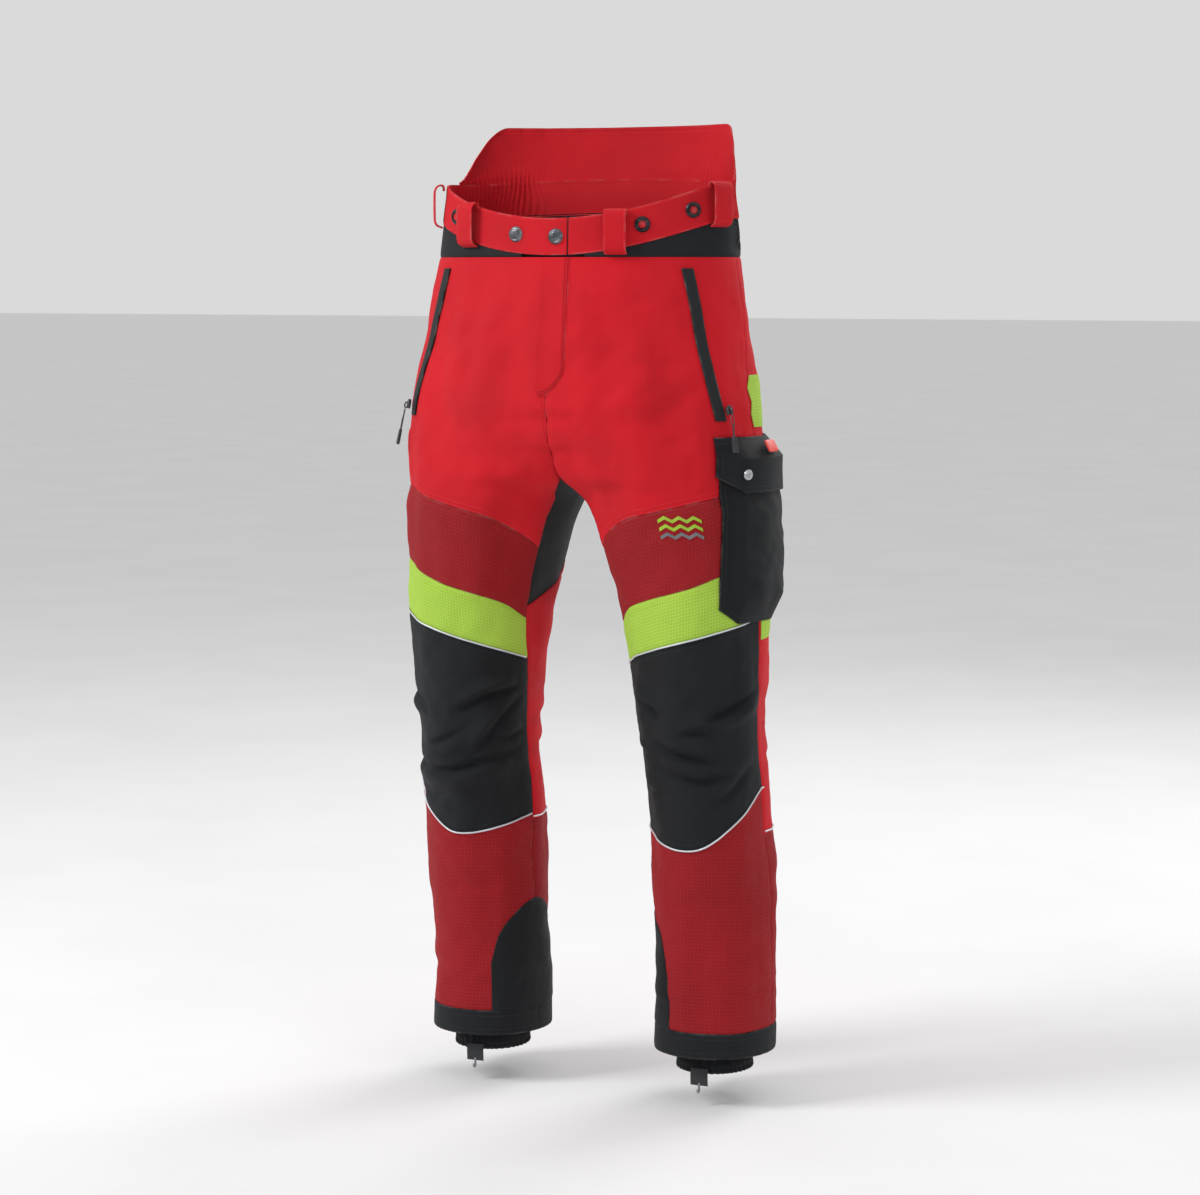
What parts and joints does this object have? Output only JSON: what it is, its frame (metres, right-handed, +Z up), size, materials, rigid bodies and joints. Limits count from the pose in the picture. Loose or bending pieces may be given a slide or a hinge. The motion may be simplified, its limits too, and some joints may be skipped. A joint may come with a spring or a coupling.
{
  "type": "chainsaw protective trousers",
  "caption": "High-backed work trousers with cut pads in both legs, bending knees, zipped pockets, a flapped cargo pocket and laced-down ankle gaiters.",
  "frame": {"origin": "centre of the waist opening, level with the waistband's top edge at the centre front", "axes": "+Z up along the body, -Y to the wearer's front, +X to the wearer's left"},
  "size_m": [0.5025, 0.2624, 1.2266],
  "materials": {
    "red_cloth": "matt woven",
    "ripstop_red": "matt ripstop",
    "hivis": "matt ripstop, high visibility",
    "black_cloth": "matt woven",
    "webbing": "woven webbing",
    "liner": "open mesh",
    "cut_pad": "loose layered fibre",
    "stud_metal": "dark satin",
    "zip_tape": "woven tape",
    "grip_plastic": "matt",
    "tag_plastic": "matt"
  },
  "bodies": {
    "torso": {"front_panel_left": "red_cloth", "front_panel_right": "red_cloth", "seat_panel_left": "red_cloth", "seat_panel_right": "red_cloth", "back_leg_panel_left": "red_cloth", "back_leg_panel_right": "red_cloth", "waistband": "red_cloth", "kidney_yoke": "red_cloth", "fly_placket": "red_cloth", "belt_loop_front_left": "red_cloth", "belt_loop_front_right": "red_cloth", "belt_loop_side_left": "red_cloth", "belt_loop_side_right": "red_cloth", "thigh_panel_left": "ripstop_red", "thigh_panel_right": "ripstop_red", "hivis_band_left": "hivis", "hivis_band_right": "hivis", "knee_panel_left": "black_cloth", "knee_panel_right": "black_cloth", "pocket_welt_left": "black_cloth", "pocket_welt_right": "black_cloth", "crotch_gusset": "black_cloth", "stretch_insert": "black_cloth", "cargo_pocket": "black_cloth", "cargo_flap_base": "black_cloth", "upper_lining_left": "liner", "upper_lining_right": "liner", "thigh_pad_left": "cut_pad", "thigh_pad_right": "cut_pad", "knee_pad_left": "cut_pad", "knee_pad_right": "cut_pad", "waist_stud_centre": "stud_metal", "waist_stud_side": "stud_metal", "brace_stud_front": "stud_metal", "brace_stud_side": "stud_metal", "brace_stud_right": "stud_metal", "fly_zip": "zip_tape"},
    "shank_left": {"shin_panel_left": "ripstop_red", "calf_panel_left": "ripstop_red", "hem_band_left": "black_cloth", "ankle_patch_left": "black_cloth", "shin_pad_left": "cut_pad", "shank_lining_left": "liner", "gaiter_left": "black_cloth"},
    "shank_right": {"shin_panel_right": "ripstop_red", "calf_panel_right": "ripstop_red", "hem_band_right": "black_cloth", "ankle_patch_right": "black_cloth", "shin_pad_right": "cut_pad", "shank_lining_right": "liner", "gaiter_right": "black_cloth"},
    "cargo_flap": {"cargo_flap": "black_cloth"},
    "side_tag": {"side_tag": "tag_plastic"},
    "fly_slider": {"fly_slider": "stud_metal"},
    "zip_slider_left": {"zip_slider_left": "stud_metal"},
    "zip_slider_right": {"zip_slider_right": "stud_metal"},
    "zip_pull_left": {"zip_pull_left": "grip_plastic"},
    "zip_pull_right": {"zip_pull_right": "grip_plastic"},
    "lace_tab_left": {"lace_tab_left": "webbing"},
    "lace_tab_right": {"lace_tab_right": "webbing"}
  },
  "joints": [
    {"name": "knee_left", "type": "hinge", "parent": "torso", "child": "shank_left", "pos_m": [0.158, 0.004, -0.673], "axis": [1, 0, 0], "range_deg": [0, 90], "deforming": ["knee_panel_left", "knee_pad_left", "back_leg_panel_left"]},
    {"name": "knee_right", "type": "hinge", "parent": "torso", "child": "shank_right", "pos_m": [-0.158, 0.004, -0.673], "axis": [1, 0, 0], "range_deg": [0, 90], "deforming": ["knee_panel_right", "knee_pad_right", "back_leg_panel_right"]},
    {"name": "cargo_flap_lift", "type": "hinge", "parent": "torso", "child": "cargo_flap", "pos_m": [0.2598, 0, -0.294], "axis": [0, -1, 0], "range_deg": [0, 110]},
    {"name": "side_tag_lift", "type": "hinge", "parent": "torso", "child": "side_tag", "pos_m": [0.25088, -0.02321, -0.27298], "axis": [-0.0518, -0.9987, 0], "range_deg": [0, 60]},
    {"name": "fly_zip_run", "type": "slide", "parent": "torso", "child": "fly_slider", "axis": [0, -0.1278, -0.9918], "range_m": [0, 0.13]},
    {"name": "pocket_zip_left", "type": "slide", "parent": "torso", "child": "zip_slider_left", "axis": [-0.2479, 0.0112, 0.9687], "range_m": [0, 0.15]},
    {"name": "pocket_zip_right", "type": "slide", "parent": "torso", "child": "zip_slider_right", "axis": [0.2479, 0.0112, 0.9687], "range_m": [0, 0.15]},
    {"name": "zip_pull_left_swing", "type": "hinge", "parent": "zip_slider_left", "child": "zip_pull_left", "pos_m": [0.22474, -0.07692, -0.24103], "axis": [-0.6124, -0.7905, 0], "range_deg": [0, 100]},
    {"name": "zip_pull_right_swing", "type": "hinge", "parent": "zip_slider_right", "child": "zip_pull_right", "pos_m": [-0.22474, -0.07692, -0.24103], "axis": [-0.6124, 0.7905, 0], "range_deg": [0, 100]},
    {"name": "lace_tab_left_swing", "type": "hinge", "parent": "shank_left", "child": "lace_tab_left", "pos_m": [0.159, -0.01385, -1.077], "axis": [-1, 0, 0], "range_deg": [0, 90]},
    {"name": "lace_tab_right_swing", "type": "hinge", "parent": "shank_right", "child": "lace_tab_right", "pos_m": [-0.159, -0.01385, -1.077], "axis": [-1, 0, 0], "range_deg": [0, 90]}
  ]
}
